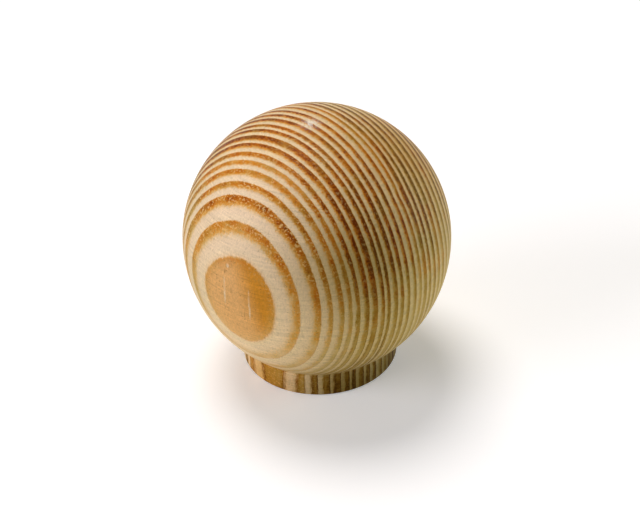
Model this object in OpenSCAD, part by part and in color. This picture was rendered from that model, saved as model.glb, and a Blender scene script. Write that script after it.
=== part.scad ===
// Turned ball knob for a cabinet door or a drawer front.
//
// The wood is one turned piece: a ball on a short collar. It is drilled from
// below, and a barbed brass insert is pressed into that socket for the screw
// that comes through the door. Millimetres, +Z up. The origin is the centre
// of the foot, which is the face that bears on the door.

/* [Ball] */
// Diameter of the ball at its widest circle
ball_d = 40; // [36:1:50]
// Height from the collar up to the ball's widest circle
ball_drop = 16.8; // [15.4:0.1:20]

/* [Collar] */
// Diameter of the collar that stands on the door
collar_d = 24; // [20:0.5:28]
// Height of the collar
collar_h = 4; // [2.5:0.5:8]
// Radius of the cove that the turning tool leaves between ball and collar
cove_r = 0.8; // [0.4:0.1:1.5]
// Radius that breaks the sharp edge of the foot
foot_round = 0.3; // [0.1:0.1:1]

/* [Socket] */
// Diameter of the socket that is drilled for the insert
socket_d = 8; // [7.6:0.1:10]
// Depth of the socket down to the shoulder of the drill's point
socket_depth = 12.5; // [12:0.5:18]
// Full angle of the drill's point
drill_angle = 118; // [90:1:140]
// Width of the chamfer round the socket's mouth
mouth_chamfer = 0.4; // [0.1:0.1:0.8]

/* [Insert] */
// Length of the insert
insert_l = 10; // [8:0.5:11]
// Distance from the foot up to the insert's lower face
insert_recess = 0.5; // [0.2:0.1:1]
// Diameter of the insert between its barbs
insert_core_d = 6.8; // [6:0.1:7.2]
// Clearance from the barbs' crests to the socket's wall, nil where they grip
barb_clearance = 0; // [0:0.01:0.1]
// Number of barbs
barb_count = 5; // [3:1:8]
// Width of the flat crest of one barb
barb_land = 0.3; // [0.2:0.1:0.6]
// Length of the plain neck below the barbs
neck_l = 0.8; // [0.4:0.1:1.5]
// Length of the tapered lead above the barbs
lead_l = 1.2; // [0.6:0.1:2]
// Width by which the lead narrows the insert at its upper face
lead_taper = 0.6; // [0.2:0.1:1]

/* [Thread] */
// Nominal diameter of the metric thread in the insert
thread_d = 4; // [3:0.5:5]
// Pitch of that thread
thread_pitch = 0.7; // [0.5:0.05:0.8]
// Width of the countersink at the thread's mouth
thread_chamfer = 0.5; // [0.2:0.1:0.8]

/* [Hidden] */
$fn = 128;

// Ball. The upper half is a true half sphere. The lower half is one longer
// arc, level with it at the widest circle, that ends on the collar's edge.
ball_r = ball_d / 2;
collar_r = collar_d / 2;
overhang = ball_r - collar_r;
ball_z = collar_h + ball_drop;
ball_at = [0, ball_z];
lower_r = (pow(overhang, 2) + pow(ball_drop, 2)) / (2 * overhang);
lower_at = [ball_r - lower_r, ball_z];

// Cove. Its arc runs into the lower arc from outside and into the collar's
// wall. It bites into the ball by a hair, so that the two arcs cross.
cove_bite = 0.0005;
cove_reach = lower_r + cove_r - cove_bite;
cove_x = collar_r + cove_r;
cove_z = ball_z - sqrt(pow(cove_reach, 2) - pow(cove_x - lower_at.x, 2));
cove_at = [cove_x, cove_z];

// Socket
socket_r = socket_d / 2;
point_h = socket_r / tan(drill_angle / 2);

// Insert. The minor diameter is that of a basic metric thread.
thread_minor_r = (thread_d - 1.0825 * thread_pitch) / 2;
insert_core_r = insert_core_d / 2;
crest_r = socket_r - barb_clearance;
barbs_z = insert_recess + neck_l;
insert_top_z = insert_recess + insert_l;
lead_z = insert_top_z - lead_l;
barb_pitch = (lead_z - barbs_z) / barb_count;

// The part of a disc of radius r round the point at that lies right of the
// turning axis and between the heights z_low and z_high
module disc_slice(r, at, z_low, z_high) {
    intersection() {
        translate(at) circle(r);
        translate([0, z_low]) square([2 * r, z_high - z_low]);
    }
}

// The ball's section: both halves meet at the widest circle
module ball_section() {
    disc_slice(ball_r, ball_at, ball_z, ball_z + 2 * ball_r);
    disc_slice(lower_r, lower_at, collar_h, ball_z);
}

// The collar's section, with its lower edge rounded
module collar_section() {
    flat_r = collar_r - foot_round;
    square([flat_r, ball_z]);
    translate([0, foot_round]) square([collar_r, collar_h - foot_round]);
    translate([flat_r, foot_round]) circle(foot_round);
}

// The wedge between ball and collar, hollowed by the cove. Its upper side
// runs from the cove's centre towards the lower arc's, and ends in the wood.
module cove_section() {
    inward = (lower_at - cove_at) / norm(lower_at - cove_at);
    difference() {
        polygon([[collar_r / 2, cove_z], cove_at, cove_at + 2 * cove_r * inward]);
        translate(cove_at) circle(cove_r);
    }
}

// The drilled socket's section, with its chamfered mouth and drill point
module socket_section() {
    polygon([
        [0, 0],
        [socket_r + mouth_chamfer, 0],
        [socket_r, mouth_chamfer],
        [socket_r, socket_depth],
        [0, socket_depth + point_h]
    ]);
}

// The turned wood
module knob_body() {
    color("burlywood")
        rotate_extrude()
            difference() {
                union() {
                    ball_section();
                    collar_section();
                    cove_section();
                }
                socket_section();
            }
}

// The outline of one barb that starts at height z: square below, where it
// holds against the screw's pull, and sloped above, where it enters the wood
function barb(z) = [
    [insert_core_r, z],
    [crest_r, z],
    [crest_r, z + barb_land]
];

// The brass insert, bored to the minor diameter of its thread
module threaded_insert() {
    color("goldenrod")
        rotate_extrude()
            polygon(concat(
                [
                    [thread_minor_r + thread_chamfer, insert_recess],
                    [insert_core_r, insert_recess]
                ],
                [for (i = [0 : barb_count - 1]) each barb(barbs_z + i * barb_pitch)],
                [
                    [insert_core_r, lead_z],
                    [insert_core_r - lead_taper, insert_top_z],
                    [thread_minor_r, insert_top_z],
                    [thread_minor_r, insert_recess + thread_chamfer]
                ]
            ));
}

knob_body();
threaded_insert();
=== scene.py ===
"""Turned pine cabinet knob with a barbed brass insert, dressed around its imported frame.

Sections are drawn in millimetres, with the origin at the centre of the foot and
+Z up through the ball, and the finished meshes are scaled to metres. The wood's
pattern is solid: it is worked out in millimetres from Object coordinates, so
that the rings run through the knob and come out where its surface cuts them.
"""

import logging
import math
from dataclasses import dataclass
from enum import Enum

import bmesh
import bpy
from mathutils import Matrix, Vector

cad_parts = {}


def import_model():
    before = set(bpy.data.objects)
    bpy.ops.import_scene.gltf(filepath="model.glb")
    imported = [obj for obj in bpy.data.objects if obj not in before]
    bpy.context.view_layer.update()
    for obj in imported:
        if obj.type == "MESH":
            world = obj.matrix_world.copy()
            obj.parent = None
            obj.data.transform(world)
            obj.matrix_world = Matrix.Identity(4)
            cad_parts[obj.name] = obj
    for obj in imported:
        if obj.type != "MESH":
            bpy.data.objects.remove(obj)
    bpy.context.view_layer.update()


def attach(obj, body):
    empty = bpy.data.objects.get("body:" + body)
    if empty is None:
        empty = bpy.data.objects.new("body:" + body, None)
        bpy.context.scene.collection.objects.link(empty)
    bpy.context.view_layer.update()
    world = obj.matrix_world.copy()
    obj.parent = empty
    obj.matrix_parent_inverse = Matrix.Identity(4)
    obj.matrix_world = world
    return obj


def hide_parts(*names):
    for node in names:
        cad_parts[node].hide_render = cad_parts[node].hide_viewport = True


log = logging.getLogger("cabinet_knob")

MM = 0.001
MERGE_MM = 1e-4
SHARP_ANGLE = math.radians(28)

# The ball's radius and the height of its centre, which the grain and the camera share
BALL_R = 20.0
BALL_Z = 20.8
# A place near the top on the ball's right side where painted shade deepens the wood's colour and darkens
# its late wood
SHADED_PLACE = (13.0, -1.0, 37.0)

Colour = tuple[float, float, float]
Point = tuple[float, float, float]
# Where an easing starts and ends, and its results before and after
Ease = tuple[float, float, float, float]


class Socket(Enum):
    """The kinds of socket that a node group has."""

    NUMBER = "NodeSocketFloat"
    VECTOR = "NodeSocketVector"
    COLOUR = "NodeSocketColor"


class Blend(Enum):
    """The ways of mixing two colours."""

    MIX = "MIX"
    MULTIPLY = "MULTIPLY"


class Section:
    """Half a section, drawn in the XZ plane in millimetres and turned about Z."""

    def __init__(self, x: float, z: float) -> None:
        """Start the section.

        Args:
            x: distance of the first point from the turning axis.
            z: height of the first point.
        """
        self.mesh = bmesh.new()
        self.tip = self.mesh.verts.new((x, 0.0, z))

    def line(self, x: float, z: float, steps: int = 1) -> "Section":
        """Draw a straight line from the last point.

        Args:
            x: distance of its end from the turning axis.
            z: height of its end.
            steps: number of edges it is made of.

        Returns:
            The section, so that the next line can follow.
        """
        stride = (Vector((x, 0.0, z)) - self.tip.co) / steps
        for _ in range(steps):
            made = bmesh.ops.extrude_vert_indiv(self.mesh, verts=[self.tip])
            self.tip = made["verts"][0]
            self.tip.co += stride
        return self

    def arc(self, x: float, z: float, degrees: float, steps: int) -> "Section":
        """Draw an arc from the last point.

        Args:
            x: distance of its centre from the turning axis.
            z: height of its centre.
            degrees: its angle, above nil where it turns from +Z towards +X.
            steps: number of edges it is made of.

        Returns:
            The section, so that the next line can follow.
        """
        made = bmesh.ops.spin(
            self.mesh,
            geom=[self.tip],
            cent=(x, 0.0, z),
            axis=(0.0, 1.0, 0.0),
            angle=math.radians(degrees),
            steps=steps,
        )
        self.tip = next(item for item in made["geom_last"] if isinstance(item, bmesh.types.BMVert))
        return self

    def turn(self, segments: int) -> bmesh.types.BMesh:
        """Turn the section once about Z.

        Args:
            segments: number of faces round the axis.

        Returns:
            The turned mesh, in millimetres.
        """
        bmesh.ops.spin(
            self.mesh,
            geom=self.mesh.verts[:] + self.mesh.edges[:],
            cent=(0.0, 0.0, 0.0),
            axis=(0.0, 0.0, 1.0),
            angle=math.tau,
            steps=segments,
            use_merge=True,
        )
        bmesh.ops.remove_doubles(self.mesh, verts=self.mesh.verts[:], dist=MERGE_MM)
        return self.mesh


def finish_mesh(mesh: bmesh.types.BMesh, name: str) -> bpy.types.Object:
    """Turn a mesh in millimetres into a smooth piece in metres.

    Args:
        mesh: the closed mesh, which is used up.
        name: name of the piece.

    Returns:
        The piece, at the origin.
    """
    bmesh.ops.recalc_face_normals(mesh, faces=mesh.faces[:])
    bmesh.ops.scale(mesh, vec=(MM, MM, MM), verts=mesh.verts[:])
    for face in mesh.faces:
        face.smooth = True
    for edge in mesh.edges:
        edge.smooth = edge.calc_face_angle(0.0) < SHARP_ANGLE
    loose = sum(1 for edge in mesh.edges if not edge.is_manifold)
    if loose:
        log.warning("%s has %d open edges", name, loose)
    data = bpy.data.meshes.new(name)
    mesh.to_mesh(data)
    mesh.free()
    piece = bpy.data.objects.new(name, data)
    bpy.context.scene.collection.objects.link(piece)
    return piece


@dataclass(frozen=True)
class Term:
    """A value in a node tree, which sums and products can be written with."""

    graph: "Graph"
    socket: bpy.types.NodeSocket

    def __add__(self, other: "Term | float") -> "Term":
        """Sum of two values."""
        return self.graph.math("ADD", self, other)

    def __sub__(self, other: "Term | float") -> "Term":
        """Difference of two values."""
        return self.graph.math("SUBTRACT", self, other)

    def __mul__(self, other: "Term | float") -> "Term":
        """Product of two values."""
        return self.graph.math("MULTIPLY", self, other)

    def __truediv__(self, other: "Term | float") -> "Term":
        """Quotient of two values."""
        return self.graph.math("DIVIDE", self, other)

    __radd__ = __add__
    __rmul__ = __mul__

    def __rsub__(self, other: float) -> "Term":
        """Difference of a number and this value."""
        return self.graph.math("SUBTRACT", other, self)


class Graph:
    """Adds nodes to one node tree and joins them."""

    def __init__(self, tree: bpy.types.NodeTree) -> None:
        """Keep the tree.

        Args:
            tree: the material's or the group's node tree.
        """
        self.tree = tree

    def node(self, kind: str, **settings: object) -> bpy.types.Node:
        """Add a node.

        Args:
            kind: its Blender type.
            settings: its properties.

        Returns:
            The node.
        """
        made = self.tree.nodes.new(kind)
        for name, value in settings.items():
            setattr(made, name, value)
        return made

    def put(self, value: "Term | float | tuple", socket: bpy.types.NodeSocket) -> None:
        """Feed a socket from a value in the tree, or set it to a number.

        Args:
            value: what the socket takes.
            socket: the input socket.
        """
        if isinstance(value, Term):
            self.tree.links.new(value.socket, socket)
        else:
            socket.default_value = value

    def math(self, operation: str, *values: "Term | float") -> Term:
        """Work out one operation of the Math node.

        Args:
            operation: its name.
            values: the numbers it takes.

        Returns:
            Its result.
        """
        made = self.node("ShaderNodeMath", operation=operation)
        for value, socket in zip(values, made.inputs):
            self.put(value, socket)
        return Term(self, made.outputs[0])

    def ease(self, value: Term, start: float, end: float, low: float = 0.0, high: float = 1.0) -> Term:
        """Pass smoothly from one number to another, and stay there on both sides.

        Args:
            value: what decides.
            start: where the passage starts.
            end: where it ends.
            low: result up to the start.
            high: result from the end on.

        Returns:
            The result.
        """
        made = self.node("ShaderNodeMapRange", interpolation_type="SMOOTHSTEP")
        for number, item in enumerate((value, start, end, low, high)):
            self.put(item, made.inputs[number])
        return Term(self, made.outputs[0])

    def vector(self, x: "Term | float", y: "Term | float", z: "Term | float") -> Term:
        """Join three numbers.

        Args:
            x: first number.
            y: second number.
            z: third number.

        Returns:
            The vector.
        """
        made = self.node("ShaderNodeCombineXYZ")
        for value, socket in zip((x, y, z), made.inputs):
            self.put(value, socket)
        return Term(self, made.outputs[0])

    def parts(self, vector: Term) -> tuple[Term, Term, Term]:
        """Split a vector.

        Args:
            vector: the vector.

        Returns:
            Its three numbers.
        """
        made = self.node("ShaderNodeSeparateXYZ")
        self.put(vector, made.inputs[0])
        return tuple(Term(self, socket) for socket in made.outputs)

    def noise(self, vector: Term, detail: float = 2.0, roughness: float = 0.5) -> Term:
        """Cloudy noise between nil and one, with features one unit across.

        Args:
            vector: the place, in units of the noise's features.
            detail: how many finer layers it has.
            roughness: how strong those are.

        Returns:
            The noise.
        """
        made = self.node("ShaderNodeTexNoise")
        self.put(vector, made.inputs["Vector"])
        made.inputs["Scale"].default_value = 1.0
        made.inputs["Detail"].default_value = detail
        made.inputs["Roughness"].default_value = roughness
        return Term(self, made.outputs["Fac"])

    def near(self, place: Term, at: Point, reach: float) -> Term:
        """Tell how near a place is to a point: one at the point, and soon nil beyond its reach.

        Args:
            place: the place.
            at: the point.
            reach: distance over which the result falls to about a third.

        Returns:
            The result.
        """
        gap = self.node("ShaderNodeVectorMath", operation="DISTANCE")
        self.put(place, gap.inputs[0])
        self.put(at, gap.inputs[1])
        share = self.math("POWER", Term(self, gap.outputs["Value"]) * (1.0 / reach), 2.0)
        return self.math("EXPONENT", share * -1.0)

    def mix(self, share: "Term | float", first: "Term | Colour", second: "Term | Colour",
            blend: Blend = Blend.MIX) -> Term:
        """Mix two colours.

        Args:
            share: how much of the second.
            first: the first colour.
            second: the second colour.
            blend: the way of mixing.

        Returns:
            The colour.
        """
        made = self.node("ShaderNodeMix", data_type="RGBA", blend_type=blend.value, clamp_factor=True)
        self.put(share, made.inputs[0])
        for value, socket in ((first, made.inputs[6]), (second, made.inputs[7])):
            self.put(value if isinstance(value, Term) else (*value, 1.0), socket)
        return Term(self, made.outputs[2])

    def ramp(self, value: Term, stops: tuple[tuple[float, Colour], ...]) -> Term:
        """Look a colour up along a row of stops.

        Args:
            value: the place along the row, from nil to one.
            stops: place and colour of each stop.

        Returns:
            The colour.
        """
        made = self.node("ShaderNodeValToRGB")
        self.put(value, made.inputs[0])
        row = made.color_ramp.elements
        for (place, colour), stop in zip(stops, (row[0], row[1])):
            stop.position = place
            stop.color = (*colour, 1.0)
        for place, colour in stops[2:]:
            row.new(place).color = (*colour, 1.0)
        return Term(self, made.outputs[0])

    def group(self, group: "Group", **inputs: "Term | float") -> dict[str, Term]:
        """Place a node group.

        Args:
            group: the group.
            inputs: what its input sockets take, by name.

        Returns:
            Its outputs, by name.
        """
        made = self.node("ShaderNodeGroup", node_tree=group.tree)
        for name, value in inputs.items():
            self.put(value, made.inputs[name])
        return {socket.name: Term(self, socket) for socket in made.outputs}


class Group(Graph):
    """A shader node group with named inputs and outputs."""

    def __init__(self, name: str, inputs: dict[str, Socket], outputs: dict[str, Socket]) -> None:
        """Make the group and its sockets.

        Args:
            name: name of the group.
            inputs: kind of each input socket, by name.
            outputs: kind of each output socket, by name.
        """
        super().__init__(bpy.data.node_groups.new(name, "ShaderNodeTree"))
        for in_out, sockets in (("INPUT", inputs), ("OUTPUT", outputs)):
            for socket, kind in sockets.items():
                self.tree.interface.new_socket(socket, in_out=in_out, socket_type=kind.value)
        self.source = self.node("NodeGroupInput")
        self.result = self.node("NodeGroupOutput")

    def given(self, name: str) -> Term:
        """Read an input of the group."""
        return Term(self, self.source.outputs[name])

    def give(self, name: str, value: Term) -> None:
        """Feed an output of the group."""
        self.put(value, self.result.inputs[name])


@dataclass(frozen=True)
class Pith:
    """Where the tree's pith runs, beside the knob, and how the rings bend round it.

    The frame of the pith is the knob's own, turned about Z so that X points
    away from the ball's centre to the pith, with its origin at the ball's centre.
    """

    azimuth: float = -126.0
    distance: float = 70.0
    offset: float = 1.0
    # How the stem differs from a straight round one: each is the rings' shift,
    # in millimetres, one radius of the ball away to the side, up, or both.
    sweep: float = 3.5
    lean: float = -0.5
    taper: float = 0.5
    twist: float = 0.5
    # Curls in the grain: the place, the reach and the shift of each.
    curls: tuple[tuple[Point, float, float], ...] = (
        ((11.8, -9.64, 33.76), 1.2, 0.2),
        ((-12.2, -14.4, 27.4), 4.0, 0.22),
    )

    def group(self) -> Group:
        """Make the group that says how far from the pith a place is.

        Returns:
            The group. Ring is in millimetres, nil at the ball's centre.
        """
        made = Group("pith_distance", {"Place": Socket.VECTOR}, {"Ring": Socket.NUMBER})
        place = made.given("Place")
        x, y, z = made.parts(place)
        turn = math.radians(self.azimuth)
        toward = x * math.cos(turn) + y * math.sin(turn)
        beside = y * math.cos(turn) - x * math.sin(turn)
        up = z - BALL_Z
        ring = made.math("POWER", self.distance - toward, 2.0)
        ring = made.math("SQRT", ring + made.math("POWER", beside - self.offset, 2.0)) - self.distance
        depth = (BALL_R - toward) / BALL_R
        side = beside / BALL_R
        height = up / BALL_R
        ring = ring + side * (depth * self.sweep + height * self.twist)
        ring = ring + height * (depth * self.taper + self.lean)
        for at, reach, shift in self.curls:
            ring = ring + made.near(place, at, reach) * shift
        made.give("Ring", ring)
        return made


@dataclass(frozen=True)
class YearRings:
    """The years' growth: pale early wood that darkens into late wood and ends sharply."""

    early_share: float = 0.45
    late_share: float = 0.6
    edge: float = 0.12
    fresh: float = 1.0
    first_year: float = -20.9
    # Width of the early wood, width of the late wood, and how dark the late wood
    # is, for each year from the pith outwards, in millimetres.
    years: tuple[tuple[float, float, float], ...] = (
        (0.0, 2.2, 0.62),
        (1.3, 0.75, 0.62),
        (1.35, 0.85, 0.7),
        (0.8, 0.65, 0.66),
        (0.75, 0.75, 0.66),
        (0.55, 0.65, 0.62),
        (0.6, 0.6, 0.82),
        (0.75, 0.7, 0.94),
        (0.45, 1.0, 0.97),
        (0.75, 0.55, 0.97),
        (0.55, 0.55, 0.9),
        (0.75, 0.75, 0.95),
        (0.65, 0.65, 0.92),
        (0.85, 0.55, 0.95),
        (1.0, 0.55, 0.82),
        (0.8, 0.55, 0.7),
        (0.55, 0.9, 0.9),
        (0.7, 0.55, 1.0),
        (0.8, 0.7, 1.0),
        (0.7, 0.8, 0.82),
        (0.8, 0.85, 0.82),
        (0.85, 0.7, 0.75),
        (0.9, 0.7, 0.8),
        (0.8, 0.7, 0.82),
        (0.85, 0.7, 0.78),
        (0.75, 0.8, 0.82),
        (0.9, 0.65, 0.75),
        (0.8, 0.75, 0.8),
    )

    def group(self) -> Group:
        """Make the group that tells late wood from early wood.

        Returns:
            The group. Late is nil in early wood, and Fresh is one in the wood
            that follows a year's sharp edge.
        """
        made = Group(
            "year_rings",
            {"Inner": Socket.NUMBER, "Outer": Socket.NUMBER},
            {"Late": Socket.NUMBER, "Fresh": Socket.NUMBER},
        )
        inner = made.given("Inner")
        outer = made.given("Outer")
        late: Term | float = 0.0
        fresh: Term | float = 0.0
        at = self.first_year
        for early_width, late_width, tone in self.years:
            start = at + early_width
            at = start + late_width
            first = start - self.early_share * early_width
            grown = made.ease(inner, first, start + self.late_share * late_width, 0.0, tone)
            ended = made.ease(outer, at - self.edge, at + self.edge, 1.0, 0.0)
            late = made.math("MULTIPLY_ADD", grown, ended, late)
            fading = made.ease(outer, at + self.edge, at + self.fresh, 1.0, 0.0)
            fresh = made.math("MULTIPLY_ADD", 1.0 - ended, fading, fresh)
        made.give("Late", late)
        made.give("Fresh", fresh)
        return made


@dataclass(frozen=True)
class TurningMarks:
    """Fine lines that a tool or a sanding cloth leaves round a turned piece."""

    round_share: float = 2.5

    def group(self) -> Group:
        """Make the group.

        Returns:
            The group. Lines is noise round one half that runs round the Z axis,
            with Fineness lines in a millimetre.
        """
        made = Group(
            "turning_marks",
            {"Place": Socket.VECTOR, "Fineness": Socket.NUMBER},
            {"Lines": Socket.NUMBER},
        )
        x, y, z = made.parts(made.given("Place"))
        fineness = made.given("Fineness")
        radius = made.math("SQRT", x * x + y * y) + 0.001
        noise = made.node("ShaderNodeTexNoise", noise_dimensions="4D")
        where = made.vector(radius * fineness, z * fineness, x / radius * self.round_share)
        made.put(where, noise.inputs["Vector"])
        made.put(y / radius * self.round_share, noise.inputs["W"])
        noise.inputs["Scale"].default_value = 1.0
        noise.inputs["Detail"].default_value = 2.0
        noise.inputs["Roughness"].default_value = 0.6
        made.give("Lines", Term(made, noise.outputs["Fac"]))
        return made


@dataclass(frozen=True)
class ResinCanals:
    """Resin canals: short slits along the grain, with a few pale ones at given places."""

    across: float = 0.85
    along: float = 9.0
    slit: float = 0.12
    slit_edge: Ease = (0.4, 1.3, 1.0, 0.0)
    pale_edge: Ease = (0.2, 1.6, 1.0, 0.0)
    # Centre, half width and half length of each pale canal in the wood that
    # faces the pith. Each is this many times as wide along Y as along X.
    pale_stretch: float = 3.0
    pale: tuple[tuple[Point, float, float], ...] = (
        ((-13.17, -14.95, 22.6), 0.15, 2.6),
        ((-9.7, -17.5, 21.4), 0.15, 2.6),
        ((-12.52, -14.62, 26.23), 0.2, 0.3),
    )

    def group(self) -> Group:
        """Make the group.

        Returns:
            The group. Dark is one in the scattered canals, and Pale in the
            listed ones.
        """
        made = Group(
            "resin_canals",
            {"Place": Socket.VECTOR},
            {"Dark": Socket.NUMBER, "Pale": Socket.NUMBER},
        )
        place = made.given("Place")
        x, y, z = made.parts(place)
        cells = made.node("ShaderNodeTexVoronoi", feature="F1", distance="EUCLIDEAN")
        cells.inputs["Scale"].default_value = 1.0
        where = made.vector(x * (1.0 / self.across), y * (1.0 / self.across), z * (1.0 / self.along))
        made.put(where, cells.inputs["Vector"])
        middle = Term(made, cells.outputs["Distance"]) * (1.0 / self.slit)
        made.give("Dark", made.ease(middle, *self.slit_edge))
        pale: Term | float = 0.0
        for (at_x, at_y, at_z), half_width, half_length in self.pale:
            squares = (
                made.math("POWER", (x - at_x) * (1.0 / half_width), 2.0)
                + made.math("POWER", (y - at_y) * (1.0 / (self.pale_stretch * half_width)), 2.0)
                + made.math("POWER", (z - at_z) * (1.0 / half_length), 2.0)
            )
            pale = made.ease(squares, *self.pale_edge) + pale
        made.give("Pale", pale)
        return made


def new_material(name: str) -> tuple[bpy.types.Material, Graph, bpy.types.Node]:
    """Make a material with an empty Principled BSDF.

    Args:
        name: name of the material.

    Returns:
        The material, its graph and its shader.
    """
    material = bpy.data.materials.new(name)
    material.use_nodes = True
    return material, Graph(material.node_tree), material.node_tree.nodes["Principled BSDF"]


def seen_directly(graph: Graph) -> Term:
    """Tell the rays that show a surface as it is from those that carry its light on.

    Args:
        graph: the graph of the floor or of the world.

    Returns:
        One for camera, glossy and transmission rays, and nil for the rest.
    """
    light_path = graph.node("ShaderNodeLightPath")
    seen = Term(graph, light_path.outputs["Is Camera Ray"])
    for kind in ("Is Glossy Ray", "Is Transmission Ray"):
        seen = graph.math("MAXIMUM", seen, Term(graph, light_path.outputs[kind]))
    return seen


def place_in_mm(graph: Graph) -> Term:
    """Read the place on the piece, in millimetres.

    Args:
        graph: the material's graph.

    Returns:
        Object coordinates, times a thousand.
    """
    coordinates = graph.node("ShaderNodeTexCoord")
    made = graph.node("ShaderNodeMapping", vector_type="POINT")
    graph.put(Term(graph, coordinates.outputs["Object"]), made.inputs["Vector"])
    made.inputs["Scale"].default_value = (1.0 / MM, 1.0 / MM, 1.0 / MM)
    return Term(graph, made.outputs[0])


@dataclass(frozen=True)
class PaintedShade:
    """Painted shade: broad places darkened to stand in for shade, across the front, at the ball's sides
    and round the collar, darkest on the collar's right side.
    """

    places: tuple[tuple[Point, float, Colour], ...] = (
        ((4.5, -18.0, 28.0), 8.0, (0.64, 0.61, 0.44)),
        (SHADED_PLACE, 9.0, (0.86, 0.74, 0.56)),
        ((15.0, 6.0, 34.0), 7.0, (0.80, 0.77, 0.64)),
        ((-18.5, -1.0, 30.0), 8.0, (0.74, 0.75, 0.70)),
        ((-11.0, 9.0, 36.0), 8.0, (0.72, 0.74, 0.66)),
        ((-18.0, -9.0, 18.0), 6.0, (0.86, 0.88, 0.82)),
        ((-9.0, -9.0, 1.0), 5.0, (0.90, 0.68, 0.32)),
        ((4.0, -12.0, 0.0), 6.0, (0.54, 0.48, 0.25)),
        ((12.0, -4.0, 0.0), 7.0, (0.32, 0.29, 0.13)),
    )

    def group(self) -> Group:
        """Make the group.

        Returns:
            The group. Its output is white, and darker with painted shade in each of the places.
        """
        made = Group("dark_patches", {"Place": Socket.VECTOR}, {"Tint": Socket.COLOUR})
        place = made.given("Place")
        shade_tint: Term | Colour = (1.0, 1.0, 1.0)
        for at, reach, colour in self.places:
            # Each place darkens the wood as painted shade
            shade_tint = made.mix(made.near(place, at, reach), shade_tint, made.mix(1.0, shade_tint, colour, Blend.MULTIPLY))
        made.give("Tint", shade_tint)
        return made


@dataclass(frozen=True)
class Specks:
    """Small round specks, scattered evenly through the wood.

    Spacing is the distance between places for one, in millimetres, size is its
    radius as a share of that, and share is how many of the places hold one.
    """

    spacing: float = 0.5
    size: float = 0.2
    share: float = 0.5
    edge: Ease = (0.5, 1.2, 1.0, 0.0)

    def group(self) -> Group:
        """Make the group.

        Returns:
            The group. Specks is one inside a speck.
        """
        made = Group("specks", {"Place": Socket.VECTOR}, {"Specks": Socket.NUMBER})
        cells = made.node("ShaderNodeTexVoronoi", feature="F1", distance="EUCLIDEAN")
        cells.inputs["Scale"].default_value = 1.0 / self.spacing
        made.put(made.given("Place"), cells.inputs["Vector"])
        middle = Term(made, cells.outputs["Distance"]) * (1.0 / self.size)
        lot, _, _ = made.parts(Term(made, cells.outputs["Color"]))
        held = made.math("LESS_THAN", lot, self.share)
        made.give("Specks", made.ease(middle, *self.edge) * held)
        return made


def emboss(graph: Graph, shader: bpy.types.Node, relief: Term) -> None:
    """Raise a surface by a relief.

    Args:
        graph: the material's graph.
        shader: the material's shader.
        relief: height of the surface, in millimetres.
    """
    bump = graph.node("ShaderNodeBump")
    bump.inputs["Strength"].default_value = 1.0
    bump.inputs["Distance"].default_value = MM
    graph.put(relief, bump.inputs["Height"])
    graph.put(Term(graph, bump.outputs["Normal"]), shader.inputs["Normal"])


@dataclass(frozen=True)
class Grain:
    """Noise in the wood, with its number of features in a millimetre along each axis."""

    fineness: Point
    detail: float = 2.0
    roughness: float = 0.5

    def at(self, graph: Graph, place: Term) -> Term:
        """Work the noise out.

        Args:
            graph: the material's graph.
            place: the place, in millimetres.

        Returns:
            The noise, which lies round nil.
        """
        scaled = graph.node("ShaderNodeVectorMath", operation="MULTIPLY")
        graph.put(place, scaled.inputs[0])
        graph.put(self.fineness, scaled.inputs[1])
        return graph.noise(Term(graph, scaled.outputs[0]), self.detail, self.roughness) - 0.5


@dataclass(frozen=True)
class Wood:
    """What the wood is like at a place, for its colour and its surface to follow.

    Grown is late wood as its year made it, late is late wood as dark as it
    shows, and early is what isn't late.
    """

    graph: Graph
    place: Term
    ring: Term
    grown: Term
    fresh: Term
    late: Term
    early: Term
    eye: Term
    frayed: Term
    fibres: Term
    along: Term
    lines: Term
    stipple: Term


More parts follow.
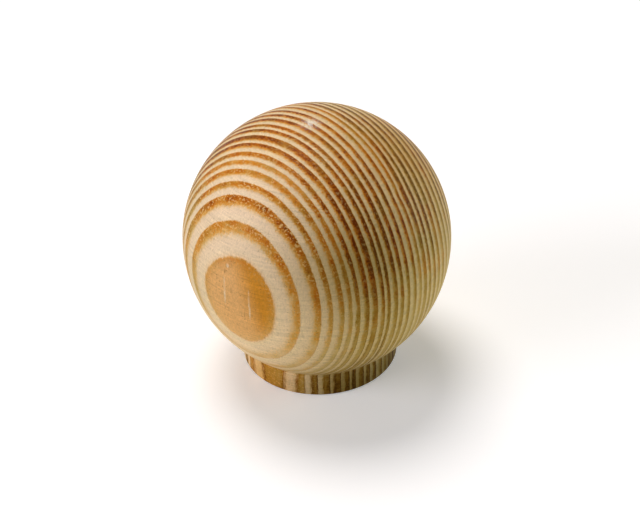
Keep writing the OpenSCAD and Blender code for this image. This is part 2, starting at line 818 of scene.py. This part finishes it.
@dataclass(frozen=True)
class PineFinish:
    """Pine under a satin lacquer."""

    red_stops: tuple[tuple[float, Colour], ...] = (
        (0.0, (0.80, 0.60, 0.34)),
        (1.0, (0.18, 0.034, 0.002)),
        (0.35, (0.72, 0.40, 0.115)),
        (0.6, (0.62, 0.24, 0.025)),
        (0.8, (0.44, 0.115, 0.006)),
    )
    olive_stops: tuple[tuple[float, Colour], ...] = (
        (0.0, (0.78, 0.60, 0.33)),
        (1.0, (0.19, 0.085, 0.007)),
        (0.35, (0.62, 0.415, 0.14)),
        (0.6, (0.46, 0.27, 0.05)),
        (0.8, (0.33, 0.165, 0.018)),
    )
    young_colour: Colour = (0.86, 0.65, 0.46)
    fresh_colour: Colour = (0.87, 0.69, 0.47)
    gold_colour: Colour = (0.90, 0.62, 0.26)
    eye_colours: tuple[Colour, Colour] = ((0.76, 0.42, 0.17), (0.64, 0.27, 0.03))
    top_patch_colour: Colour = (0.96, 0.90, 0.80)
    canal_colour: Colour = (0.28, 0.13, 0.04)
    pale_colour: Colour = (0.86, 0.74, 0.55)

    waver: Grain = Grain((0.3, 0.3, 0.1), 1.0)
    fraying: Grain = Grain((2.2, 2.2, 0.6))
    fibre: Grain = Grain((6.0, 6.0, 1.2), 2.0, 0.6)
    change: Grain = Grain((0.55, 0.55, 0.45))
    stipple: Grain = Grain((3.5, 3.5, 2.8), 2.0, 0.7)
    hue: Grain = Grain((0.3, 0.3, 0.25), 1.0)
    fleck: Grain = Grain((2.6, 2.6, 3.0))
    cloud: Grain = Grain((0.16, 0.16, 0.05))
    line_fineness: float = 4.0

    # How far the noise shifts the start and the end of a year's late wood, in
    # millimetres, and how much late wood changes along its ring.
    waver_shift: float = 0.15
    fray_start: float = 0.4
    fray_end: float = 0.12
    fibre_start: float = 0.45
    fibre_end: float = 0.2
    change_share: float = 0.9
    early_loss: float = 2.5

    # How dark late wood is by height, towards the back, on the collar and in
    # the wood that grew last. Its paling low down, at the top and in the last
    # rings low down is painted sheen, and its darkening on the collar and near
    # the shaded place at the top is painted shade.
    painted_sheen_low: Ease = (10.0, 32.0, 0.44, 1.08)
    painted_sheen_top: Ease = (34.0, 40.0, 1.0, 0.82)
    dark_back: Ease = (-2.0, 6.0, 1.0, 1.25)
    painted_collar_shade: Ease = (3.6, 5.0, 0.4, 0.0)
    painted_sheen_last: Ease = (0.0, 6.0, 0.0, 0.2)
    painted_sheen_last_low: Ease = (23.0, 32.0, 1.0, 0.0)
    shaded_place_reach: float = 11.0
    shaded_place_gain: float = 0.12

    # How the fine grain darkens the tone, and how much the hue wanders.
    tone_noise: float = 0.9
    tone_fibres: float = 0.14
    hue_share: float = 2.4
    fresh_share: float = 0.5

    # Where the rim of a ring darkens, and where the wood turns olive or young. The olive low
    # down is partly the wood's own tone and partly a painted khaki sheen.
    rim: Ease = (7.0, 22.0, 3.6, 1.0)
    olive_and_painted_sheen_low: Ease = (15.0, 33.0, 1.3, 0.0)
    olive_grown: Ease = (-17.0, -9.0, 0.0, 1.0)
    olive_last: Ease = (0.0, 8.0, 0.0, 0.85)
    olive_side: Ease = (-18.5, -13.0, 0.4, 0.0)
    young: Ease = (-15.0, -7.0, 1.0, 0.0)

    # The ring that the ball's side just reaches, which shows as one broad face.
    eye: Ease = (-19.35, -18.35, 1.0, 0.0)
    eye_deep: Ease = (-3.8, -1.4, 0.0, 1.0)
    eye_across: float = 0.6
    eye_up: float = 0.15
    eye_noise: float = 0.6

    # Gold flecks, pale canals, the pale patch at the top pole, and pits and slits.
    flecks: Ease = (0.01, 0.18, 0.0, 1.0)
    fleck_share: Ease = (-14.0, -6.0, 0.9, 0.25)
    pale_share: Ease = (-0.12, 0.0, 0.2, 0.6)
    top_patch_at: Point = (-0.4, -1.1, 40.8)
    top_patch_reach: float = 1.1
    top_patch_edge: Ease = (-0.2, 0.1, 0.0, 1.0)
    top_patch_share: float = 0.9
    pits_early: float = 0.25
    pits_late: float = 0.75
    slits_late: float = 0.6

    # How strongly the finest grain shades the wood, and how high it stands, in
    # millimetres.
    hatch: Ease = (-0.1, 0.12, 0.3, 0.75)
    stipple_shade: float = 0.45
    stipple_late: float = 0.4
    cloud_shade: float = 0.12
    fibre_shade: float = 0.35
    late_relief: float = 0.012
    fibre_relief: float = 0.014
    line_relief: float = 0.014
    pit_depth: float = 0.02

    roughness_early: float = 0.5
    roughness_late: float = 0.4
    roughness_lines: float = 0.25
    roughness_fibres: float = 0.15
    specular: float = 0.04

    def darkness(self, graph: Graph, place: Term, ring: Term) -> Term:
        """Say how dark late wood shows, paled by painted sheen low down, at the top and in the last rings,
        and darkened by painted shade on the collar and near the top.

        Args:
            graph: the material's graph.
            place: the place, in millimetres.
            ring: its distance outwards from the pith.

        Returns:
            The share of its year's own darkness.
        """
        _, y, z = graph.parts(place)
        # Painted sheen: late wood paler towards the foot and at the top
        dark = graph.ease(z, *self.painted_sheen_low) * graph.ease(z, *self.painted_sheen_top)
        # Painted shade: late wood darker on the collar, under the ball
        dark = dark * graph.ease(y, *self.dark_back) + graph.ease(z, *self.painted_collar_shade)
        # Painted sheen: the last rings paler low down
        dark = dark * (1.0 - graph.ease(ring, *self.painted_sheen_last) * graph.ease(z, *self.painted_sheen_last_low))
        # Painted shade: late wood darker near the shaded place at the top
        return dark + graph.near(place, SHADED_PLACE, self.shaded_place_reach) * self.shaded_place_gain

    def wood(self, graph: Graph, marks: Group) -> Wood:
        """Work out what the wood is like.

        Args:
            graph: the material's graph.
            marks: the group of turning marks.

        Returns:
            The wood.
        """
        place = place_in_mm(graph)
        ring = graph.group(Pith().group(), Place=place)["Ring"]
        frayed = self.fraying.at(graph, place)
        fibres = self.fibre.at(graph, place)
        along = self.change.at(graph, place)
        wavy = ring + self.waver.at(graph, place) * self.waver_shift
        outer = wavy + frayed * self.fray_end + fibres * self.fibre_end
        rings = graph.group(
            YearRings().group(),
            Inner=wavy + frayed * self.fray_start + fibres * self.fibre_start,
            Outer=outer,
        )
        late = rings["Late"] * self.darkness(graph, place, ring) * (1.0 + along * self.change_share)
        return Wood(
            graph=graph,
            place=place,
            ring=ring,
            grown=rings["Late"],
            fresh=rings["Fresh"],
            late=late,
            early=1.0 - graph.math("MINIMUM", late * self.early_loss, 1.0),
            eye=graph.ease(outer, *self.eye),
            frayed=frayed,
            fibres=fibres,
            along=along,
            lines=graph.group(marks, Place=place, Fineness=self.line_fineness)["Lines"] - 0.5,
            stipple=self.stipple.at(graph, place),
        )

    def growth_colour(self, wood: Wood) -> Term:
        """Colour the wood by the time of year and the age of the tree at which it grew.

        Args:
            wood: the wood.

        Returns:
            The colour.
        """
        graph = wood.graph
        x, _, z = graph.parts(wood.place)
        rim = wood.grown * wood.fresh * graph.ease(z, *self.rim)
        noise = (wood.stipple + wood.lines) * self.tone_noise
        tone = wood.late * (1.0 + noise) + rim + wood.fibres * self.tone_fibres
        # Olive low down: partly the wood's own tone, partly painted khaki sheen
        olive = graph.ease(z, *self.olive_and_painted_sheen_low) * graph.ease(wood.ring, *self.olive_grown)
        olive = graph.math("MAXIMUM", graph.ease(wood.ring, *self.olive_last), olive)
        olive = graph.math("MAXIMUM", graph.ease(x, *self.olive_side), olive)
        share = olive + self.hue.at(graph, wood.place) * self.hue_share
        colour = graph.mix(share, graph.ramp(tone, self.red_stops), graph.ramp(tone, self.olive_stops))
        young = graph.ease(wood.ring, *self.young)
        colour = graph.mix(young * wood.early, colour, self.young_colour)
        return graph.mix(wood.fresh * wood.early * self.fresh_share, colour, self.fresh_colour)

    def with_eye(self, wood: Wood, colour: Term) -> Term:
        """Lay the eye over the wood, and gold flecks over its late wood.

        Args:
            wood: the wood.
            colour: its colour so far.

        Returns:
            The colour.
        """
        graph = wood.graph
        x, _, z = graph.parts(wood.place)
        deep = x * self.eye_across + z * self.eye_up + wood.stipple * self.eye_noise
        deep = graph.ease(deep, *self.eye_deep)
        colour = graph.mix(wood.eye, colour, graph.mix(deep, *self.eye_colours))
        flecks = graph.ease(self.fleck.at(graph, wood.place), *self.flecks) * wood.late
        flecks = flecks * (1.0 - wood.eye) * graph.ease(wood.ring, *self.fleck_share)
        return graph.mix(flecks, colour, self.gold_colour)

    def with_marks(self, wood: Wood, colour: Term, pits: Term, slits: Term, pale: Term) -> Term:
        """Lay the pits, the canals, the pale patch at the top pole and the painted shade over the wood.

        Args:
            wood: the wood.
            colour: its colour so far.
            pits: share of the small pits.
            slits: share of the dark canals.
            pale: share of the pale canals.

        Returns:
            The colour.
        """
        graph = wood.graph
        colour = graph.mix(pits, colour, self.canal_colour)
        colour = graph.mix(slits, colour, self.canal_colour)
        colour = graph.mix(pale * graph.ease(wood.frayed, *self.pale_share), colour, self.pale_colour)
        # A pale patch at the top pole
        top_patch = graph.near(wood.place, self.top_patch_at, self.top_patch_reach)
        top_patch = top_patch * graph.ease(wood.frayed + wood.stipple, *self.top_patch_edge)
        colour = graph.mix(top_patch * self.top_patch_share, colour, self.top_patch_colour)
        # Painted shade: broad darker places where the knob lies in shade
        shade_tint = graph.group(PaintedShade().group(), Place=wood.place)["Tint"]
        return graph.mix(1.0, colour, shade_tint, Blend.MULTIPLY)

    def shade(self, wood: Wood) -> Term:
        """Work out how the fine grain and the turning lines lighten and darken the wood.

        Args:
            wood: the wood.

        Returns:
            The grey to multiply its colour by.
        """
        graph = wood.graph
        hatch = wood.lines * graph.ease(wood.along, *self.hatch)
        shade = 1.0 + hatch + wood.stipple * (self.stipple_shade + wood.late * self.stipple_late)
        shade = shade + self.cloud.at(graph, wood.place) * self.cloud_shade
        shade = shade + wood.fibres * self.fibre_shade
        return graph.vector(shade, shade, shade)

    def material(self, marks: Group) -> bpy.types.Material:
        """Make the finish.

        Args:
            marks: the group of turning marks.

        Returns:
            The material.
        """
        material, graph, shader = new_material("pine_satin")
        wood = self.wood(graph, marks)
        pits = graph.group(Specks().group(), Place=wood.place)["Specks"]
        pits = pits * (self.pits_early + wood.late * self.pits_late)
        canals = graph.group(ResinCanals().group(), Place=wood.place)
        slits = canals["Dark"] * (self.pits_early + wood.late * self.slits_late)
        colour = self.with_eye(wood, self.growth_colour(wood))
        colour = self.with_marks(wood, colour, pits, slits, canals["Pale"])
        colour = graph.mix(1.0, colour, self.shade(wood), Blend.MULTIPLY)
        graph.put(colour, shader.inputs["Base Color"])
        rough = self.roughness_early + wood.late * (self.roughness_late - self.roughness_early)
        rough = rough + wood.lines * self.roughness_lines + wood.fibres * self.roughness_fibres
        graph.put(rough, shader.inputs["Roughness"])
        relief = wood.late * self.late_relief + wood.fibres * self.fibre_relief
        relief = relief + wood.lines * self.line_relief - (slits + pits) * self.pit_depth
        emboss(graph, shader, relief)
        graph.put(self.specular, shader.inputs["Specular IOR Level"])
        return material


@dataclass(frozen=True)
class BrassFinish:
    """Bare turned brass."""

    colour: Colour = (0.80, 0.58, 0.26)
    dull: Colour = (0.55, 0.36, 0.15)
    roughness: float = 0.3
    roughness_wear: float = 0.2
    line_fineness: float = 14.0
    line_relief: float = 0.004
    dull_share: Ease = (0.45, 0.75, 0.0, 0.7)

    def material(self, marks: Group) -> bpy.types.Material:
        """Make the finish.

        Args:
            marks: the group of turning marks.

        Returns:
            The material.
        """
        material, graph, shader = new_material("brass_turned")
        place = place_in_mm(graph)
        lines = graph.group(marks, Place=place, Fineness=self.line_fineness)["Lines"] - 0.5
        dark_patches = graph.noise(place, 4.0, 0.6)
        share = graph.ease(dark_patches, *self.dull_share)
        graph.put(graph.mix(share, self.colour, self.dull), shader.inputs["Base Color"])
        rough = self.roughness + (lines + share) * self.roughness_wear
        graph.put(rough, shader.inputs["Roughness"])
        graph.put(1.0, shader.inputs["Metallic"])
        emboss(graph, shader, lines * self.line_relief)
        return material


@dataclass
class TurnedKnob:
    """The wood: a ball on a short collar, with the socket drilled from below."""

    ball_r: float = BALL_R
    ball_z: float = BALL_Z
    collar_r: float = 12.0
    collar_h: float = 4.0
    cove_r: float = 0.8
    foot_round: float = 0.3
    socket_r: float = 4.0
    socket_depth: float = 12.5
    drill_angle: float = 118.0
    mouth_chamfer: float = 0.4
    segments: int = 288

    def build(self) -> bpy.types.Object:
        """Turn the ball, the cove, the collar and the socket as one closed mesh.

        Returns:
            The wooden piece.
        """
        overhang = self.ball_r - self.collar_r
        drop = self.ball_z - self.collar_h
        lower_r = (overhang**2 + drop**2) / (2.0 * overhang)
        lower_x = self.ball_r - lower_r
        cove_x = self.collar_r + self.cove_r
        cove_z = self.ball_z - math.sqrt((lower_r + self.cove_r) ** 2 - (cove_x - lower_x) ** 2)
        swing = math.degrees(math.atan2(self.ball_z - cove_z, cove_x - lower_x))
        point_z = self.socket_depth + self.socket_r / math.tan(math.radians(self.drill_angle / 2.0))
        section = (
            Section(0.0, self.ball_z + self.ball_r)
            .arc(0.0, self.ball_z, 90.0, 72)
            .arc(lower_x, self.ball_z, swing, 44)
            .arc(cove_x, cove_z, -swing, 10)
            .line(self.collar_r, self.foot_round, 4)
            .arc(self.collar_r - self.foot_round, self.foot_round, 90.0, 6)
            .line(self.socket_r + self.mouth_chamfer, 0.0, 10)
            .line(self.socket_r, self.mouth_chamfer)
            .line(self.socket_r, self.socket_depth, 8)
            .line(0.0, point_z, 4)
        )
        return finish_mesh(section.turn(self.segments), "turned_knob")

    def dress(self, piece: bpy.types.Object, marks: Group) -> None:
        """Give the wood its finish, and stand it for the frame's own body.

        Args:
            piece: the wooden piece.
            marks: the group of turning marks.
        """
        piece.data.materials.append(PineFinish().material(marks))
        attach(piece, "root")
        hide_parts("knob_body")


@dataclass
class ThreadedInsert:
    """The barbed brass insert, with the metric thread that takes the screw."""

    low_z: float = 0.5
    high_z: float = 10.5
    core_r: float = 3.4
    crest_r: float = 4.0
    barb_count: int = 5
    barb_land: float = 0.3
    neck: float = 0.8
    lead: float = 1.2
    lead_taper: float = 0.6
    thread_d: float = 4.0
    pitch: float = 0.7
    mouth_chamfer: float = 0.5
    exit_chamfer: float = 0.4
    segments: int = 64

    def bore(self) -> bmesh.types.BMesh:
        """Cut the thread: one turn of its profile, swept up a helix and trimmed.

        Returns:
            The threaded wall of the bore, open at both ends.
        """
        major_r = self.thread_d / 2.0
        minor_r = (self.thread_d - 1.0825 * self.pitch) / 2.0
        start = self.low_z - 2.0 * self.pitch
        crest_end = start + self.pitch / 4.0
        root_start = crest_end + self.pitch * 5.0 / 16.0
        root_end = root_start + self.pitch / 8.0
        profile = (
            Section(minor_r, start)
            .line(minor_r, crest_end, 2)
            .line(major_r, root_start, 3)
            .line(major_r, root_end)
            .line(minor_r, start + self.pitch, 3)
        )
        mesh = profile.mesh
        turns = math.ceil((self.high_z - self.low_z) / self.pitch) + 3
        bmesh.ops.spin(
            mesh,
            geom=mesh.verts[:] + mesh.edges[:],
            cent=(0.0, 0.0, 0.0),
            axis=(0.0, 0.0, 1.0),
            dvec=(0.0, 0.0, self.pitch / self.segments),
            angle=math.tau * turns,
            steps=self.segments * turns,
        )
        bmesh.ops.remove_doubles(mesh, verts=mesh.verts[:], dist=MERGE_MM)
        for height, upward in ((self.low_z, -1.0), (self.high_z, 1.0)):
            bmesh.ops.bisect_plane(
                mesh,
                geom=mesh.verts[:] + mesh.edges[:] + mesh.faces[:],
                dist=MERGE_MM,
                plane_co=(0.0, 0.0, height),
                plane_no=(0.0, 0.0, upward),
                clear_outer=True,
            )
        for vert in mesh.verts:
            radius = vert.co.xy.length
            mouth = minor_r + self.mouth_chamfer - (vert.co.z - self.low_z)
            top = minor_r + self.exit_chamfer - (self.high_z - vert.co.z)
            vert.co.xy *= max(radius, mouth, top) / radius
        return mesh

    def build(self) -> bpy.types.Object:
        """Turn the barbed outside, and close it to the threaded bore at both ends.

        Returns:
            The brass piece.
        """
        first = self.low_z + self.neck
        rise = (self.high_z - self.lead - first) / self.barb_count
        outside = Section(self.core_r, self.low_z).line(self.core_r, first)
        for number in range(self.barb_count):
            foot = first + number * rise
            outside.line(self.crest_r, foot)
            outside.line(self.crest_r, foot + self.barb_land)
            outside.line(self.core_r, foot + rise)
        outside.line(self.core_r - self.lead_taper, self.high_z)
        shell = outside.turn(self.segments)
        wall = bpy.data.meshes.new("bore_wall")
        bore = self.bore()
        bore.to_mesh(wall)
        bore.free()
        shell.from_mesh(wall)
        bpy.data.meshes.remove(wall)
        for height in (self.low_z, self.high_z):
            rim = [
                edge
                for edge in shell.edges
                if edge.is_boundary and all(abs(v.co.z - height) < 0.01 for v in edge.verts)
            ]
            bmesh.ops.triangle_fill(shell, use_beauty=True, edges=rim, normal=(0.0, 0.0, 1.0))
        return finish_mesh(shell, "brass_insert")

    def dress(self, piece: bpy.types.Object, marks: Group) -> None:
        """Give the brass its finish, and stand it for the frame's own insert.

        Args:
            piece: the brass piece.
            marks: the group of turning marks.
        """
        piece.data.materials.append(BrassFinish().material(marks))
        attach(piece, "root")
        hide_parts("threaded_insert")


@dataclass(frozen=True)
class Lamp:
    """A soft lamp, far away: its direction, its width and how brightly it lights white."""

    name: str
    azimuth: float
    elevation: float
    width: float
    level: float
    colour: Colour

    def build(self) -> None:
        """Hang the lamp."""
        data = bpy.data.lights.new(self.name, "SUN")
        data.energy = self.level * math.pi
        data.angle = math.radians(self.width)
        data.color = self.colour
        lamp = bpy.data.objects.new(self.name, data)
        turn = Matrix.Rotation(math.radians(self.azimuth + 90.0), 4, "Z")
        tilt = Matrix.Rotation(math.radians(90.0 - self.elevation), 4, "X")
        lamp.matrix_world = turn @ tilt @ Matrix.Translation((0.0, 0.0, 1.0))
        bpy.context.scene.collection.objects.link(lamp)


@dataclass
class Studio:
    """The floor, the lamps and the camera."""

    distance: float = 220.0
    elevation: float = 34.818
    roll: float = -1.674
    lens: float = 82.88
    aim: Point = (0.4615, -2.999, 0.0)
    floor_size: float = 4.0
    floor_gap: float = 0.05
    floor_opening: float = 11.5
    floor_colour: Colour = (0.90, 0.90, 0.92)
    floor_glow: float = 0.3
    floor_roughness: float = 0.9
    bounce_colour: Colour = (0.78, 0.78, 0.50)
    sky: Colour = (0.045, 0.045, 0.045)
    backdrop: Colour = (0.96, 0.96, 0.96)
    lamps: tuple[Lamp, ...] = (
        Lamp("top_lamp", 116.0, 66.0, 32.0, 0.66, (1.0, 0.95, 0.90)),
        Lamp("left_lamp", -160.0, 18.0, 36.0, 0.57, (1.0, 0.97, 1.05)),
        Lamp("right_lamp", 7.0, 10.0, 32.0, 0.31, (0.93, 1.02, 0.90)),
        Lamp("foot_lamp", -120.0, -50.0, 36.0, 0.6, (1.0, 1.0, 1.0)),
    )

    def camera(self) -> None:
        """Set the camera on its aim point, beside the ball's centre."""
        tilt = Matrix.Rotation(math.radians(90.0 - self.elevation), 4, "X")
        turn = tilt @ Matrix.Rotation(math.radians(self.roll), 4, "Z")
        aim = Vector((0.0, 0.0, BALL_Z)) + turn @ Vector(self.aim)
        data = bpy.data.cameras.new("camera")
        data.lens = self.lens
        data.sensor_width = 36.0
        data.sensor_fit = "HORIZONTAL"
        data.clip_start = 0.01
        data.clip_end = 20.0
        camera = bpy.data.objects.new("camera", data)
        back = turn @ Vector((0.0, 0.0, self.distance))
        camera.matrix_world = Matrix.Translation((aim + back) * MM) @ turn
        bpy.context.scene.collection.objects.link(camera)
        bpy.context.scene.camera = camera

    def floor(self) -> None:
        """Lay the floor a hair below the foot: white where it is seen, and clear from below.

        It is open under the foot, so that the foot is lit in a view from below.
        """
        mesh = bmesh.new()
        drop = Matrix.Translation((0.0, 0.0, -self.floor_gap * MM))
        for radius in (self.floor_opening * MM, self.floor_size):
            bmesh.ops.create_circle(mesh, segments=96, radius=radius, matrix=drop)
        bmesh.ops.bridge_loops(mesh, edges=mesh.edges[:])
        mesh.normal_update()
        bmesh.ops.reverse_faces(mesh, faces=[face for face in mesh.faces if face.normal.z < 0.0])
        data = bpy.data.meshes.new("floor")
        mesh.to_mesh(data)
        mesh.free()
        floor = bpy.data.objects.new("floor", data)
        bpy.context.scene.collection.objects.link(floor)
        material, graph, shader = new_material("floor_paper")
        seen = seen_directly(graph)
        colour = graph.mix(seen, self.bounce_colour, self.floor_colour)
        graph.put(colour, shader.inputs["Base Color"])
        graph.put(graph.mix(seen, (0.0, 0.0, 0.0), (1.0, 1.0, 1.0)), shader.inputs["Emission Color"])
        graph.put(self.floor_glow, shader.inputs["Emission Strength"])
        graph.put(self.floor_roughness, shader.inputs["Roughness"])
        graph.put(0.0, shader.inputs["Specular IOR Level"])
        side = graph.node("ShaderNodeNewGeometry")
        clear = graph.node("ShaderNodeBsdfTransparent")
        surface = graph.node("ShaderNodeMixShader")
        graph.put(Term(graph, side.outputs["Backfacing"]), surface.inputs["Fac"])
        graph.put(Term(graph, shader.outputs["BSDF"]), surface.inputs[1])
        graph.put(Term(graph, clear.outputs["BSDF"]), surface.inputs[2])
        output = material.node_tree.nodes["Material Output"]
        graph.put(Term(graph, surface.outputs["Shader"]), output.inputs["Surface"])
        data.materials.append(material)

    def world(self) -> None:
        """Surround the knob with dim light, and show white where nothing stands."""
        world = bpy.data.worlds.new("world")
        world.use_nodes = True
        bpy.context.scene.world = world
        graph = Graph(world.node_tree)
        background = world.node_tree.nodes["Background"]
        colour = graph.mix(seen_directly(graph), self.sky, self.backdrop)
        graph.put(colour, background.inputs["Color"])
        graph.put(1.0, background.inputs["Strength"])

    def build(self) -> None:
        """Set up the camera, the floor, the world and the lamps."""
        self.camera()
        self.floor()
        self.world()
        for lamp in self.lamps:
            lamp.build()
        bpy.context.scene.view_settings.view_transform = "Standard"


def main() -> None:
    """Build the knob around its frame and report each piece."""
    logging.basicConfig(level=logging.INFO)
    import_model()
    marks = TurningMarks().group()
    for maker in (TurnedKnob(), ThreadedInsert()):
        piece = maker.build()
        maker.dress(piece, marks)
        log.info("%s: %d faces", piece.name, len(piece.data.polygons))
    Studio().build()


if __name__ == "__main__":
    main()
